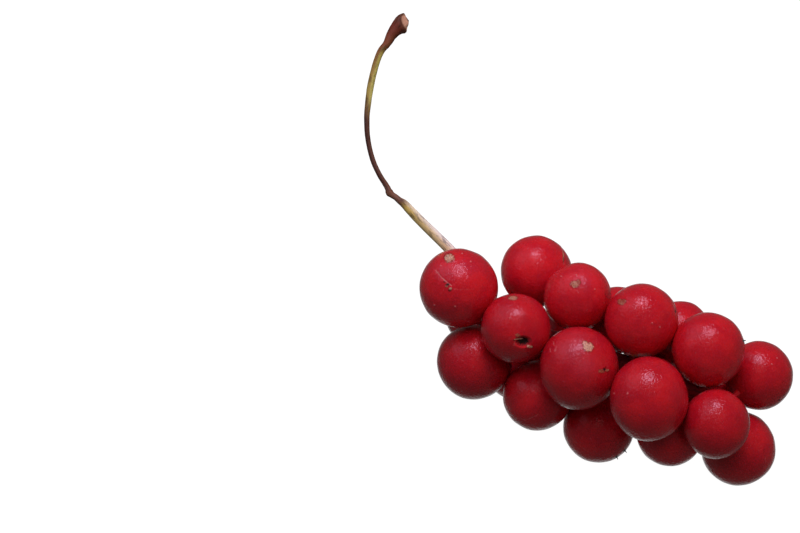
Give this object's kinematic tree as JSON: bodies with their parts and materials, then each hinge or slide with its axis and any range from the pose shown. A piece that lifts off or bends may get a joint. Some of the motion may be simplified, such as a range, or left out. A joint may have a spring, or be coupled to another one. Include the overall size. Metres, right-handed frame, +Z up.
{
  "type": "schisandra berry cluster",
  "caption": "Ripe red schisandra berries packed around a fleshy receptacle, with a thin curved woody fruit stalk; lies on a surface as picked.",
  "frame": {"origin": "on the surface that the berries rest on, under the middle of the box around the cluster and its stalk", "axes": "+Z up from the surface, +X along the receptacle from the stalk towards its tip, +Y to the back, where the stalk leaves"},
  "size_m": [0.0566, 0.0372, 0.0223],
  "materials": {
    "berry_skin": "satin, finely grained ripe skin",
    "stalk_bark": "dry bark, dark brown to pale tan",
    "carpel_skin": "dull yellow-green skin"
  },
  "bodies": {
    "root": {"fruit_stalk": "stalk_bark", "top_berry_1": "berry_skin", "top_berry_2": "berry_skin", "top_berry_3": "berry_skin", "top_berry_4": "berry_skin", "top_berry_5": "berry_skin", "front_berry_1": "berry_skin", "front_berry_2": "berry_skin", "front_berry_3": "berry_skin", "front_berry_4": "berry_skin", "front_berry_5": "berry_skin", "front_berry_6": "berry_skin", "under_berry_1": "berry_skin", "under_berry_2": "berry_skin", "under_berry_3": "berry_skin", "under_berry_4": "berry_skin", "under_berry_5": "berry_skin", "under_berry_6": "berry_skin", "under_berry_7": "berry_skin", "back_berry_1": "berry_skin", "back_berry_2": "berry_skin", "back_berry_3": "berry_skin", "back_berry_4": "berry_skin", "undeveloped_carpel_1": "carpel_skin", "undeveloped_carpel_2": "carpel_skin", "undeveloped_carpel_3": "carpel_skin", "undeveloped_carpel_4": "carpel_skin", "undeveloped_carpel_5": "carpel_skin", "undeveloped_carpel_6": "carpel_skin", "undeveloped_carpel_7": "carpel_skin", "undeveloped_carpel_8": "carpel_skin"}
  },
  "joints": []
}
